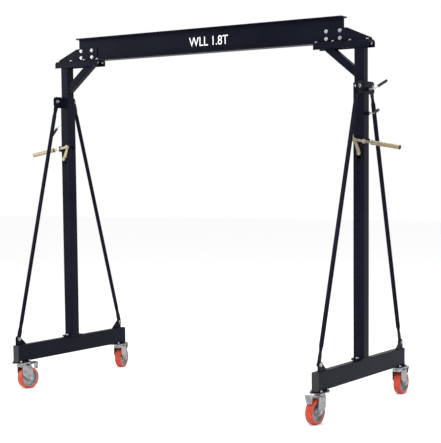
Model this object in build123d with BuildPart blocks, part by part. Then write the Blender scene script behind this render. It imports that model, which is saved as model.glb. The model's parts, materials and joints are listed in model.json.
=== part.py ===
"""Portable gantry crane: two wheeled A-frame stands and an I-beam that rides up on telescoping masts.

Frame: origin on the floor at the centre of the crane, +X along the I-beam towards the right stand,
+Y towards the rear, +Z up. Millimetres. The crane is drawn with the beam at its lowest height.
Each piece of the right stand is drawn in place, and the left stand is its mirror image in the YZ plane.
"""

import os
from math import atan2, cos, degrees, hypot, radians, sin, tan

from build123d import *

os.makedirs("parts", exist_ok=True)

# ---------------------------------------------------------------- driving dimensions (mm)

# Overall layout
leg_spacing = 2390.0        # between the centrelines of the two uprights
base_length = 1220.0        # front to back
upright_top = 2065.0        # rim of the outer uprights
mast_exposed = 218.0        # mast between the rim and the saddle, at its lowest
lift_range = 1200.0         # travel of the masts, a whole number of hole pitches

# Tubes
base_width = 50.0
base_height = 118.0
base_wall = 4.0
cap_plug = 14.0             # how far the end caps go into the base beams
cap_face = 3.0
cap_edge = 0.3              # cap smaller than the tube all round
cap_plug_play = 0.5
cap_taper = 15.0
upright_width = 76.0
upright_wall = 4.0
mast_gap = 1.0              # between the mast and the bore of the upright, each side
mast_wall = 4.0
mast_bottom = 420.0
knee_width = 50.0
knee_wall = 4.0
brace_dia = 28.0
brace_wall = 2.5

# I-beam, saddles and gussets
beam_end_inset = 120.0      # end of the I-beam inside the upright's centreline
beam_height = 165.0
beam_flange = 80.0
beam_flange_thick = 9.0
beam_web = 6.0
beam_root_radius = 8.0
saddle_mast_gap = 8.0       # between the mast and the sides of the saddle
saddle_depth = 38.0
saddle_top = 8.0
saddle_side = 5.0
saddle_out = 74.0           # reach of the saddle outside the upright's centreline
saddle_in = 318.0           # and inside it, under the I-beam
gusset_thick = 6.0
gusset_in = 288.0
gusset_height = 93.0
gusset_shoulder = 98.0      # where the gusset's top begins to slope down
gusset_lip = 20.0
gusset_foot_thick = 8.0
gusset_edge = 2.0           # gusset short of the saddle's outer end and of the I-beam's end
gusset_web_clear = 1.0      # gusset to the root radius of the I-beam
knee_bolt_gap = 3.0         # knee brace to the nuts at the saddle's inner end
knee_angle = 39.3

# Fasteners
frame_bolt = 12.0
beam_bolt = 10.0
caster_bolt = 8.0
hole_play = 1.0             # how much a bolt hole is wider than its bolt
web_bolt_first = 144.0      # from the upright's centreline, towards the middle
web_bolt_pitch = 98.0
web_bolt_low = 29.0         # above the saddle's seat
web_bolt_rise = 48.0
saddle_bolt_first = -57.0
saddle_bolt_pitch = 120.5
saddle_bolt_y = 28.0

# Foot of the upright
foot_thick = 12.0
foot_bolt_out = 17.0        # bolts from the faces of the upright
foot_edge = 13.0            # and from the ends of the foot plate

# Side braces and the lugs they are bolted to
lug_thick = 8.0
foot_lug_out = 12.0         # mid-plane of the lower lugs, outwards from the upright's centreline
top_lug_inset = 8.0         # mid-plane of the upper lugs, inwards from the upright's outer face
brace_foot_inset = 35.0     # lower pivot from the end of the base beam
brace_foot_rise = 42.0      # pivot above the base beam
brace_top_out = 56.0        # upper pivot from the face of the upright
brace_top_drop = 25.0       # pivot below the upright's rim
brace_tab_thick = 6.0
brace_tab_width = 38.0
brace_tab_clear = 14.0      # flat tube left beyond the edge of the upper lug
brace_neck = 50.0
foot_lug_eye = 44.0         # diameter of the rounded top about the pivot
foot_lug_base = 5.0         # upright edge at the base beam
foot_lug_slope = 78.0       # sloping side's foot from the pivot, towards the upright
top_lug_reach = 82.0        # out from the face of the upright
top_lug_height = 80.0
top_lug_rise = 8.0          # above the rim
top_lug_corner = 26.0

# Height locks: bent pins through the outer face of each upright
pin_dia = 10.0
pin_play = 0.25
pin_top_drop = 43.0         # upper pin below the rim
pin_spacing = 150.0         # upper pin to lower pin
hole_pitch = 50.0
mast_hole_play = 2.0
mast_slot_width = 24.0      # slots down the front of the mast for the dog
mast_slot_height = 18.0
mast_slot_corner = 4.0
pin_retract = 0.5           # tip inside the upright's wall when withdrawn
pin_straight = 50.0         # straight rod outside the upright's face
pin_arm = 98.0              # bent part
pin_bend = 48.0
boss_dia = 24.0
boss_length = 18.0
grip_dia = 19.0
grip_length = 68.0
grip_end = 4.0              # grip beyond the end of the rod
grip_corner = 3.0

# Lifting lever on the front face of each upright
lever_pivot_out = 10.0      # outside the upright's outer face
lever_pivot_drop = 368.0    # below the rim
lever_end_x = 288.0
lever_inner_x = -25.0
lever_slope = 10.0
lever_bar_height = 16.0
lever_bar_thick = 12.0
lever_boss_dia = 30.0
lever_sleeve_dia = 28.0
lever_sleeve_start = 96.0
lever_pin_dia = 12.0
lever_play = 0.1
dog_drop = 86.0
dog_shift = 33.0
dog_thick = 5.0
dog_eye_dia = 18.0
dog_hub_dia = 26.0
dog_hub_proud = 9.0
dog_tip_dia = 14.0
dog_pin_dia = 8.0
slot_clear = 8.0            # dog's tip to the ends and sides of the slot that it works in
bracket_thick = 6.0
bracket_height = 40.0
bracket_root = 34.0         # inwards from the lever's pivot
side_gap = 0.4              # between parts that turn face to face
lever_up = 35.0             # degrees the handle can be raised from rest
lever_down = 12.0

# Sight holes down the front of each upright
sight_hole_dia = 9.0
sight_hole_pitch = 60.0
sight_hole_lowest = 480.0
sight_hole_margin = 60.0    # highest hole below the dog's slot

# Guide screws that steady the mast, and the pin that it stands on at its lowest
guide_screw_drop = 358.0
guide_screw_reach = 24.0
guide_screw_dia = 16.0
guide_nut_flats = 24.0
guide_nut_thick = 9.0
stop_pin_dia = 16.0

# Casters
wheel_dia = 152.0
wheel_width = 50.0
core_dia = 122.0
hub_dia = 46.0
hub_width = 58.0
core_web = 12.0
axle_dia = 12.0
axle_play = 0.1
axle_head = 7.0
axle_nut = 8.5
hub_corner = 3.0
rim_lip = 3.0               # core's rim inside the sides of the tread
rim_thick = 8.0
tread_corner = 6.0
caster_trail = 52.0
fork_gap = 62.0
fork_thick = 5.0
crown_clear = 8.0           # wheel to crown
crown_thick = 6.0
crown_back = 40.0           # crown between the legs, behind the swivel axis
leg_front = 14.0            # legs in front of the swivel axis
leg_back = 62.0
leg_top_depth = 12.0        # straight edge at the top of the legs
leg_belly_dia = 40.0        # rounds the front edge of the legs
leg_belly_z = 112.0
fork_eye_dia = 44.0
race_dia = 64.0
race_flange = 4.0           # lower race beyond the upper one
race_gap = 0.4
lower_race = 6.0
upper_race = 10.6
plate_width = 84.0
plate_length = 110.0
mount_plate_thick = 8.0
plate_corner = 6.0
caster_plate_thick = 6.0
kingpin_dia = 12.0
kingpin_nut_flats = 19.0
kingpin_nut_thick = 6.0
caster_bolt_x = 33.5
caster_bolt_y = 43.0
pedal_pivot_y = 53.0
pedal_pivot_rise = 9.0      # above the top of the wheel
pedal_pin_dia = 6.0
pedal_ear_dia = 18.0        # ears on the fork that carry the pedal's pin
pedal_ear_back = 18.0
pedal_ear_drop = 12.0
pedal_width = 56.0          # between the legs
pedal_tread_width = 66.0    # beyond them
pedal_tread_start = 66.0    # from the swivel axis
pedal_thick = 4.0
pedal_barrel_dia = 14.0
pedal_heel = 7.5            # pedal behind its pin
pedal_rise = 8.0            # underside of the pedal above its pin
pedal_reach = 122.0         # outer face of the pedal's tongue from the swivel axis
pedal_climb = 8.0           # degrees that the pedal rises towards its tip
tongue_drop = 19.0          # end of the tongue below the top of the wheel
tongue_top_width = 56.0
tongue_end_width = 38.0

# ---------------------------------------------------------------- values worked out from them

leg_x = leg_spacing / 2
beam_length = leg_spacing - 2 * beam_end_inset
wheel_radius = wheel_dia / 2
crown_underside = wheel_dia + crown_clear
crown_top = crown_underside + crown_thick
upper_race_bottom = crown_top + lower_race + race_gap
caster_plate_bottom = upper_race_bottom + upper_race
caster_plate_top = caster_plate_bottom + caster_plate_thick
pedal_pivot_z = wheel_dia + pedal_pivot_rise
base_underside = caster_plate_top + mount_plate_thick
base_top = base_underside + base_height
foot_top = base_top + foot_thick
upright_bore = upright_width - 2 * upright_wall
mast_width = upright_bore - 2 * mast_gap
mast_hole_dia = pin_dia + mast_hole_play
saddle_underside = upright_top + mast_exposed
saddle_seat = saddle_underside + saddle_depth
saddle_width = mast_width + 2 * (saddle_mast_gap + saddle_side)
mast_top = saddle_seat - saddle_top
foot_bolt_y = upright_width / 2 + foot_bolt_out
foot_length = 2 * (foot_bolt_y + foot_edge)
foot_lug_x = foot_lug_out
top_lug_x = upright_width / 2 - top_lug_inset
tab_offset = (lug_thick + brace_tab_thick) / 2
brace_foot_y = base_length / 2 - brace_foot_inset
brace_top_y = upright_width / 2 + brace_top_out
brace_foot = (brace_foot_y, base_top + brace_foot_rise)
brace_top = (brace_top_y, upright_top - brace_top_drop)
upper_pin_z = upright_top - pin_top_drop
lower_pin_z = upper_pin_z - pin_spacing
lever_pivot_x = upright_width / 2 + lever_pivot_out
lever_pivot_z = upright_top - lever_pivot_drop
lever_tilt = radians(lever_slope)
lever_inner_arm = (lever_pivot_x - lever_inner_x) / cos(lever_tilt)
pivot_y = base_length / 2 - plate_length / 2


def right(x, y=0.0, z=0.0):
    """A point given from the right upright's centreline, with x towards the outside."""
    return (leg_x + x, y, z)


def save(piece, name):
    """Label a finished piece and write it."""
    piece.label = name
    export_step(piece, f"parts/{name}.step")


def mirrored(piece):
    """The same piece on the left stand."""
    return mirror(piece, about=Plane.YZ)


def save_pair(piece, name):
    """Write a right-hand piece and its left-hand mirror image."""
    save(mirrored(piece), f"left_{name}")
    save(piece, f"right_{name}")


def save_group(pieces, name):
    """Write several separate pieces of one kind as one node."""
    save(Compound(children=pieces), name)


def on_both_stands(pieces):
    """The pieces of the right stand followed by those of the left."""
    return pieces + [mirrored(piece) for piece in pieces]


# ---------------------------------------------------------------- fasteners

def nut_radius(size):
    """Across-corners radius of the head and nut of a bolt."""
    return 0.8 * size / cos(radians(30))


def hex_bolt(seat, size, grip):
    """A bolt with its washer face on the seat plane, its shank down the plane's -Z, and its own nut."""
    with BuildPart(seat) as bolt:
        with BuildSketch(seat):
            RegularPolygon(radius=nut_radius(size), side_count=6)
        extrude(amount=0.65 * size)
        with BuildSketch(seat):
            Circle(1.05 * size)
        extrude(amount=0.16 * size)
        with BuildSketch(seat):
            Circle(size / 2)
        extrude(amount=-(grip + 1.3 * size))
    under = seat.offset(-grip)
    with BuildPart(under) as nut:
        with BuildSketch(under):
            RegularPolygon(radius=nut_radius(size), side_count=6)
            Circle(size / 2 + 0.1, mode=Mode.SUBTRACT)
        extrude(amount=-0.85 * size)
    return [bolt.part, nut.part]


def facing(x, y, z, normal, across=(0, 1, 0)):
    """A plane at a point, with its +Z along the given direction."""
    return Plane(origin=(x, y, z), x_dir=across, z_dir=normal)


# ---------------------------------------------------------------- base beams

with BuildPart() as base_beam:
    with BuildSketch(facing(*right(0, -base_length / 2, base_underside + base_height / 2),
                            (0, 1, 0), across=(1, 0, 0))):
        RectangleRounded(base_width, base_height, 1.5 * base_wall)
        RectangleRounded(base_width - 2 * base_wall, base_height - 2 * base_wall, 0.5 * base_wall,
                         mode=Mode.SUBTRACT)
    extrude(amount=base_length)
    with BuildSketch(Plane.XY.offset(base_top)):
        with Locations(right(0, -foot_bolt_y)[:2], right(0, foot_bolt_y)[:2]):
            Circle((frame_bolt + hole_play) / 2)
    extrude(amount=-base_wall - 1, mode=Mode.SUBTRACT)
save_pair(base_beam.part, "base_beam")


def end_cap(end):
    """A moulded plug for one end of a base beam; end is -1 at the front and 1 at the rear."""
    face = facing(*right(0, end * base_length / 2, base_underside + base_height / 2),
                  (0, end, 0), across=(1, 0, 0))
    with BuildPart() as cap:
        with BuildSketch(face):
            RectangleRounded(base_width - 2 * cap_edge, base_height - 2 * cap_edge, 1.5 * base_wall)
        extrude(amount=cap_face, taper=cap_taper)
        with BuildSketch(face):
            RectangleRounded(base_width - 2 * (base_wall + cap_plug_play),
                             base_height - 2 * (base_wall + cap_plug_play), 0.5 * base_wall)
        extrude(amount=-cap_plug)
    return cap.part


save_group(on_both_stands([end_cap(-1), end_cap(1)]), "base_end_caps")


# ---------------------------------------------------------------- outer uprights

def dog_place(raised):
    """Centre of the dog's tip, from the upright's centreline, with the handle raised by some degrees."""
    angle = lever_tilt - radians(raised)
    return (lever_pivot_x - lever_inner_arm * cos(angle) + dog_shift,
            lever_pivot_z + lever_inner_arm * sin(angle) - dog_drop)


pin_heights = [upper_pin_z, lower_pin_z]
slot_margin = dog_tip_dia / 2 + slot_clear
slot_left = dog_place(lever_slope)[0] - slot_margin
slot_right = max(dog_place(lever_up)[0], dog_place(-lever_down)[0]) + slot_margin
slot_low = dog_place(lever_up)[1] - slot_margin
slot_high = dog_place(-lever_down)[1] + slot_margin
sight_hole_count = int((slot_low - sight_hole_margin - sight_hole_lowest) / sight_hole_pitch) + 1
sight_heights = [sight_hole_lowest + sight_hole_pitch * n for n in range(sight_hole_count)]
front_face = facing(*right(0, -upright_width / 2, 0), (0, -1, 0), across=(1, 0, 0))
outer_face = facing(*right(upright_width / 2, 0, 0), (1, 0, 0))

with BuildPart() as outer_upright:
    with BuildSketch(Plane.XY.offset(foot_top)):
        with Locations(right(0)[:2]):
            RectangleRounded(upright_width, upright_width, 1.5 * upright_wall)
            RectangleRounded(upright_bore, upright_bore, 0.5 * upright_wall, mode=Mode.SUBTRACT)
    extrude(amount=upright_top - foot_top)
    with BuildSketch(Plane.XY.offset(base_top)):
        with Locations(right(0)[:2]):
            Rectangle(upright_width, foot_length)
        with Locations(right(0, -foot_bolt_y)[:2], right(0, foot_bolt_y)[:2]):
            Circle((frame_bolt + hole_play) / 2, mode=Mode.SUBTRACT)
    extrude(amount=foot_thick)
    with BuildSketch(outer_face):
        with Locations(*[(0, z) for z in pin_heights]):
            Circle(boss_dia / 2)
    extrude(amount=boss_length)
    with BuildSketch(outer_face.offset(boss_length)):
        with Locations(*[(0, z) for z in pin_heights]):
            Circle(pin_dia / 2 + pin_play)
    extrude(amount=-boss_length - upright_wall - 1, mode=Mode.SUBTRACT)
    with BuildSketch(front_face):
        with Locations(*[(0, z) for z in sight_heights]):
            Circle(sight_hole_dia / 2)
    extrude(amount=-upright_wall - 1, mode=Mode.SUBTRACT)
    with BuildSketch(front_face):
        with Locations(((slot_left + slot_right) / 2, (slot_low + slot_high) / 2)):
            RectangleRounded(slot_right - slot_left, slot_high - slot_low, 0.4 * (slot_right - slot_left))
    extrude(amount=-upright_wall - 1, mode=Mode.SUBTRACT)
    with BuildSketch(outer_face.offset(1)):
        with Locations((0, mast_bottom - stop_pin_dia / 2)):
            Circle(stop_pin_dia / 2)
        with Locations((0, upright_top - guide_screw_drop)):
            Circle(guide_screw_dia / 2)
    extrude(amount=-upright_width - 2, mode=Mode.SUBTRACT)
save_pair(outer_upright.part, "outer_upright")


# ---------------------------------------------------------------- telescoping masts

mast_hole_count = round((lift_range + pin_spacing) / hole_pitch) + 1
mast_hole_heights = [upper_pin_z - hole_pitch * n for n in range(mast_hole_count)]

with BuildPart() as inner_mast:
    with BuildSketch(Plane.XY.offset(mast_bottom)):
        with Locations(right(0)[:2]):
            RectangleRounded(mast_width, mast_width, 1.5 * mast_wall)
            RectangleRounded(mast_width - 2 * mast_wall, mast_width - 2 * mast_wall, 0.5 * mast_wall,
                             mode=Mode.SUBTRACT)
    extrude(amount=mast_top - mast_bottom)
    with BuildSketch(facing(*right(mast_width / 2), (1, 0, 0))):
        with Locations(*[(0, z) for z in mast_hole_heights]):
            Circle(mast_hole_dia / 2)
    extrude(amount=-mast_wall - 1, mode=Mode.SUBTRACT)
    with BuildSketch(facing(*right(0, -mast_width / 2), (0, -1, 0), across=(1, 0, 0))):
        with Locations(*[(0, z - hole_pitch / 2) for z in mast_hole_heights]):
            RectangleRounded(mast_slot_width, mast_slot_height, mast_slot_corner)
    extrude(amount=-mast_wall - 1, mode=Mode.SUBTRACT)
save_pair(inner_mast.part, "inner_mast")


# ---------------------------------------------------------------- saddles

saddle_bolt_xs = [-(saddle_bolt_first + saddle_bolt_pitch * n) for n in range(4)]
saddle_middle = (saddle_out - saddle_in) / 2
saddle_length = saddle_out + saddle_in


def saddle_bolt_holes(height, xs):
    """Sketch of the saddle's bolt pattern at a height."""
    with BuildSketch(Plane.XY.offset(height)) as holes:
        with Locations(*[right(x, side * saddle_bolt_y)[:2] for x in xs for side in (-1, 1)]):
            Circle((beam_bolt + hole_play) / 2)
    return holes.sketch


with BuildPart() as saddle:
    with BuildSketch(Plane.XY.offset(saddle_underside)):
        with Locations(right(saddle_middle)[:2]):
            Rectangle(saddle_length, saddle_width)
            Rectangle(saddle_length, saddle_width - 2 * saddle_side, mode=Mode.SUBTRACT)
    extrude(amount=saddle_depth)
    with BuildSketch(Plane.XY.offset(mast_top)):
        with Locations(right(saddle_middle)[:2]):
            Rectangle(saddle_length, saddle_width)
    extrude(amount=saddle_top)
    fillet(saddle.edges().filter_by(Axis.X).group_by(Axis.Z)[-1], saddle_side * 0.8)
    add(saddle_bolt_holes(mast_top - 1, saddle_bolt_xs))
    extrude(amount=saddle_top + 2, mode=Mode.SUBTRACT)
save_pair(saddle.part, "saddle")


# ---------------------------------------------------------------- knee braces

knee_pitch = radians(knee_angle)


def knee_outline(width):
    """Corners of the strip about the knee's axis, cut off at the mast and at the saddle's underside."""
    rise = width / 2 / cos(knee_pitch)
    run = width / 2 / sin(knee_pitch)
    face_x = -mast_width / 2
    seat_x = min(saddle_bolt_xs) + nut_radius(beam_bolt) + knee_bolt_gap + knee_width / 2 / sin(knee_pitch)
    face_z = mast_top - (face_x - seat_x) * tan(knee_pitch)
    return [(face_x, face_z - rise), (face_x, face_z + rise),
            (seat_x + run, mast_top), (seat_x - run, mast_top)]


knee_side = facing(*right(0), (0, -1, 0), across=(1, 0, 0))

with BuildPart() as knee_brace:
    with BuildSketch(knee_side):
        Polygon(*knee_outline(knee_width), align=None)
    extrude(amount=knee_width / 2, both=True)
    fillet(knee_brace.faces().filter_by(Axis.Y).edges().filter_by(GeomType.LINE)
           .filter_by(lambda edge: abs(edge.tangent_at(0).X) > 0.1 and abs(edge.tangent_at(0).Z) > 0.1),
           1.2 * knee_wall)
    with BuildSketch(knee_side):
        Polygon(*knee_outline(knee_width - 2 * knee_wall), align=None)
    extrude(amount=knee_width / 2 - knee_wall, both=True, mode=Mode.SUBTRACT)
save_pair(knee_brace.part, "knee_brace")


# ---------------------------------------------------------------- I-beam

web_bolt_places = [(-(web_bolt_first + web_bolt_pitch * i), saddle_seat + web_bolt_low + web_bolt_rise * j)
                   for i in range(2) for j in range(2)]
beam_bolt_xs = [x for x in saddle_bolt_xs if -x > beam_end_inset]
beam_middle_z = saddle_seat + beam_height / 2

with BuildPart() as i_beam:
    with BuildSketch(Plane(origin=(-beam_length / 2, 0, beam_middle_z), x_dir=(0, 1, 0), z_dir=(1, 0, 0))):
        Rectangle(beam_flange, beam_height)
        with Locations(((beam_flange + beam_web) / 4, 0), (-(beam_flange + beam_web) / 4, 0)):
            Rectangle((beam_flange - beam_web) / 2, beam_height - 2 * beam_flange_thick, mode=Mode.SUBTRACT)
    extrude(amount=beam_length)
    web_roots = (i_beam.edges().filter_by(Axis.X)
                 .filter_by_position(Axis.Y, -beam_web, beam_web)
                 .filter_by_position(Axis.Z, saddle_seat + 1, saddle_seat + beam_height - 1))
    fillet(web_roots, beam_root_radius)
    for side in (-1, 1):
        with BuildSketch(Plane.XZ.offset(beam_web)):
            with Locations(*[(side * (leg_x + x), z) for x, z in web_bolt_places]):
                Circle((frame_bolt + hole_play) / 2)
        extrude(amount=-2 * beam_web, mode=Mode.SUBTRACT)
        with BuildSketch(Plane.XY.offset(saddle_seat - 1)):
            with Locations(*[(side * (leg_x + x), y) for x in beam_bolt_xs
                             for y in (-saddle_bolt_y, saddle_bolt_y)]):
                Circle((beam_bolt + hole_play) / 2)
        extrude(amount=beam_flange_thick + 2, mode=Mode.SUBTRACT)
save(i_beam.part, "i_beam")


# ---------------------------------------------------------------- gusset plates beside the web

foot_bolt_xs = [x for x in saddle_bolt_xs if x not in beam_bolt_xs]
web_clear = saddle_seat + beam_flange_thick + beam_root_radius + gusset_web_clear
gusset_top = saddle_seat + gusset_height
gusset_butt = gusset_edge - beam_end_inset
gusset_end = saddle_out - gusset_edge


def gusset(side):
    """An upright plate against the web with a foot on the saddle; side is -1 in front and 1 behind."""
    inner = side * beam_web / 2
    upright = facing(*right(0, inner), (0, side, 0), across=(-side, 0, 0))
    outline = [(-gusset_in, web_clear), (-gusset_in, gusset_top), (-gusset_shoulder, gusset_top),
               (gusset_end, saddle_seat + gusset_lip), (gusset_end, saddle_seat),
               (gusset_butt, saddle_seat), (gusset_butt, web_clear)]
    foot_reach = beam_flange / 2 - beam_web / 2
    foot_middle = (gusset_butt + gusset_end) / 2
    with BuildPart() as plate:
        with BuildSketch(upright):
            with BuildLine():
                Polyline(*[(-side * x, z) for x, z in outline], close=True)
            make_face()
            with Locations(*[(-side * x, z) for x, z in web_bolt_places]):
                Circle((frame_bolt + hole_play) / 2, mode=Mode.SUBTRACT)
        extrude(amount=gusset_thick)
        with BuildSketch(Plane.XY.offset(saddle_seat)):
            with Locations(right(foot_middle, inner + side * foot_reach / 2)[:2]):
                Rectangle(gusset_end - gusset_butt, foot_reach)
            with Locations(*[right(x, side * saddle_bolt_y)[:2] for x in foot_bolt_xs]):
                Circle((beam_bolt + hole_play) / 2, mode=Mode.SUBTRACT)
        extrude(amount=gusset_foot_thick)
    return plate.part


save_group(on_both_stands([gusset(-1), gusset(1)]), "gusset_plates")


# ---------------------------------------------------------------- beam fasteners

web_bolts = []
for x, z in web_bolt_places:
    web_grip = beam_web + 2 * gusset_thick
    web_bolts += hex_bolt(facing(*right(x, -beam_web / 2 - gusset_thick, z), (0, -1, 0), across=(1, 0, 0)),
                          frame_bolt, web_grip)
save_group(on_both_stands(web_bolts), "web_bolts")

saddle_bolts = []
for x in saddle_bolt_xs:
    plate_under_head = beam_flange_thick if x in beam_bolt_xs else gusset_foot_thick
    for y in (-saddle_bolt_y, saddle_bolt_y):
        seat = Plane.XY.offset(saddle_seat + plate_under_head).move(Location(right(x, y)))
        saddle_bolts += hex_bolt(seat, beam_bolt, plate_under_head + saddle_top)
save_group(on_both_stands(saddle_bolts), "saddle_bolts")


# ---------------------------------------------------------------- lugs for the side braces

def foot_lug(end):
    """Plate standing on the base beam; end is -1 at the front and 1 at the rear."""
    with BuildPart() as lug:
        with BuildSketch(facing(*right(foot_lug_x - lug_thick / 2, end * brace_foot_y, base_top), (1, 0, 0))):
            with Locations((0, brace_foot_rise)):
                Circle(foot_lug_eye / 2)
            with Locations((-end * (foot_lug_slope - foot_lug_eye / 2) / 2, foot_lug_base / 2)):
                Rectangle(foot_lug_slope + foot_lug_eye / 2, foot_lug_base)
            make_hull()
            with Locations((0, brace_foot_rise)):
                Circle((frame_bolt + hole_play) / 2, mode=Mode.SUBTRACT)
        extrude(amount=lug_thick)
    return lug.part


def top_lug(end):
    """Plate on the front or rear face of the upright, near its rim."""
    near = upright_width / 2
    with BuildPart() as lug:
        with BuildSketch(facing(*right(top_lug_x - lug_thick / 2, 0, upright_top + top_lug_rise), (1, 0, 0))):
            with Locations((end * (near + top_lug_reach / 2), -top_lug_height / 2)):
                Rectangle(top_lug_reach, top_lug_height)
            with Locations((end * brace_top_y, -top_lug_rise - brace_top_drop)):
                Circle((frame_bolt + hole_play) / 2, mode=Mode.SUBTRACT)
        extrude(amount=lug_thick)
        outer_edges = lug.edges().filter_by(Axis.X).sort_by(Axis.Y)
        fillet(outer_edges[-2:] if end > 0 else outer_edges[:2], top_lug_corner)
    return lug.part


save_group(on_both_stands([foot_lug(-1), foot_lug(1), top_lug(-1), top_lug(1)]), "brace_lugs")


# ---------------------------------------------------------------- side braces

brace_run = brace_foot[0] - brace_top[0]
brace_rise = brace_top[1] - brace_foot[1]
brace_length = hypot(brace_run, brace_rise)
brace_flat = ((top_lug_height - top_lug_rise - brace_top_drop) * brace_length / brace_rise
              + brace_tab_clear)
brace_foot_x = foot_lug_x - tab_offset
brace_top_x = top_lug_x - tab_offset


def brace(end):
    """A round tube with both ends pressed flat against their lugs; end is -1 in front and 1 behind."""
    slant = Vector(0, -end * brace_run / brace_length, brace_rise / brace_length)
    lower = Vector(*right(brace_foot_x, end * brace_foot[0], brace_foot[1]))
    upper = Vector(*right(brace_top_x, end * brace_top[0], brace_top[1]))
    tube_from = lower + slant * (brace_flat + brace_neck)
    tube_to = upper - slant * (brace_flat + brace_neck)
    lean = (tube_to - tube_from).normalized()
    with BuildPart() as tube:
        with BuildSketch(Plane(origin=tube_from, x_dir=(1, 0, 0), z_dir=lean)):
            Circle(brace_dia / 2)
            Circle(brace_dia / 2 - brace_wall, mode=Mode.SUBTRACT)
        extrude(amount=(tube_to - tube_from).length)
        for pivot, towards, round_end in ((lower, 1, tube_from), (upper, -1, tube_to)):
            with BuildSketch(Plane(origin=pivot + slant * towards * brace_flat, x_dir=(1, 0, 0), z_dir=slant)):
                RectangleRounded(brace_tab_thick, brace_tab_width, brace_tab_thick * 0.45)
            with BuildSketch(Plane(origin=round_end, x_dir=(1, 0, 0), z_dir=lean)):
                Circle(brace_dia / 2)
            loft()
            with BuildSketch(Plane(origin=pivot - Vector(brace_tab_thick / 2, 0, 0), x_dir=slant * towards,
                                   z_dir=(1, 0, 0))):
                Circle(brace_tab_width / 2)
                with Locations((brace_flat / 2, 0)):
                    Rectangle(brace_flat, brace_tab_width)
                Circle((frame_bolt + hole_play) / 2, mode=Mode.SUBTRACT)
            extrude(amount=brace_tab_thick)
    return tube.part


save_pair(brace(-1), "front_brace")
save_pair(brace(1), "rear_brace")

brace_bolts = []
for end in (-1, 1):
    for lug_x, (y, z) in ((foot_lug_x, brace_foot), (top_lug_x, brace_top)):
        brace_bolts += hex_bolt(facing(*right(lug_x + lug_thick / 2, end * y, z), (1, 0, 0)),
                                frame_bolt, lug_thick + brace_tab_thick)
save_group(on_both_stands(brace_bolts), "brace_bolts")

foot_bolts = []
for y in (-foot_bolt_y, foot_bolt_y):
    foot_bolts += hex_bolt(Plane.XY.offset(foot_top).move(Location(right(0, y))),
                           frame_bolt, foot_thick + base_wall)
save_group(on_both_stands(foot_bolts), "foot_bolts")


# ---------------------------------------------------------------- mast guide screws and stop pins

def guide_screw(side):
    """A plastic-tipped screw with a lock nut, steadying the mast; side is 1 outside and -1 inside."""
    tip = right(side * (mast_width / 2 + side_gap), 0, upright_top - guide_screw_drop)
    axis = facing(*tip, (side, 0, 0))
    wall_outside = (upright_width - mast_width) / 2 - side_gap
    with BuildPart() as screw:
        with BuildSketch(axis):
            Circle(guide_screw_dia / 2)
        extrude(amount=wall_outside)
        with BuildSketch(axis.offset(wall_outside)):
            RegularPolygon(radius=guide_nut_flats / 2, side_count=6, major_radius=False)
        extrude(amount=guide_nut_thick)
        with BuildSketch(axis.offset(wall_outside + guide_nut_thick)):
            Circle(frame_bolt / 2)
        extrude(amount=guide_screw_reach - guide_nut_thick)
        chamfer(screw.faces().filter_by(Axis.X).sort_by(Axis.X)[-1 if side > 0 else 0].edges(), 1)
    return screw.part


with BuildPart() as stop_pin:
    with BuildSketch(facing(*right(-upright_width / 2, 0, mast_bottom - stop_pin_dia / 2), (1, 0, 0))):
        Circle(stop_pin_dia / 2)
    extrude(amount=upright_width)

save_group(on_both_stands([guide_screw(1), guide_screw(-1), stop_pin.part]), "mast_guides_and_stops")


# ---------------------------------------------------------------- lock pins with bent handles

def lock_pin(z, turn, side):
    """A sliding pin whose outer end is bent up; turn is the bend's angle from +Y towards +Z."""
    face = side * (leg_x + upright_width / 2)
    tip = side * (leg_x + upright_width / 2 - upright_wall + pin_retract)
    elbow = face + side * pin_straight
    sideways = pin_arm * sin(radians(pin_bend))
    end = (elbow + side * pin_arm * cos(radians(pin_bend)),
           sideways * cos(radians(turn)), z + sideways * sin(radians(turn)))
    with BuildPart() as rod:
        with BuildLine():
            FilletPolyline((tip, 0, z), (elbow, 0, z), end, radius=2 * pin_dia)
        with BuildSketch(facing(tip, 0, z, (side, 0, 0))):
            Circle(pin_dia / 2)
        sweep()
    reach = hypot(end[0] - elbow, end[1], end[2] - z)
    along = ((end[0] - elbow) / reach, end[1] / reach, (end[2] - z) / reach)
    grip_start = Plane(origin=end, z_dir=along).offset(-grip_length)
    with BuildPart() as grip:
        with BuildSketch(grip_start):
            Circle(grip_dia / 2)
        extrude(amount=grip_length + grip_end)
        fillet(grip.edges().filter_by(GeomType.CIRCLE), grip_corner)
        with BuildSketch(grip_start):
            Circle(pin_dia / 2)
        extrude(amount=grip_length, mode=Mode.SUBTRACT)
    return rod.part, grip.part


pins = {
    "right_upper": (upper_pin_z, 46.0, 1),
    "right_lower": (lower_pin_z, 168.0, 1),
    "left_upper": (upper_pin_z, 4.0, -1),
    "left_lower": (lower_pin_z, -90.0, -1),
}
for name, (z, turn, side) in pins.items():
    rod_piece, grip_piece = lock_pin(z, turn, side)
    save(rod_piece, f"{name}_lock_pin")
    save(grip_piece, f"{name}_pin_grip")


# ---------------------------------------------------------------- lifting levers

lever_back = upright_width / 2 + bracket_thick + side_gap
lever_front = lever_back + lever_bar_thick


def lever_z(x):
    """Height of the lever's centreline at a distance from the upright's centreline."""
    return lever_pivot_z - (x - lever_pivot_x) * tan(lever_tilt)


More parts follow.
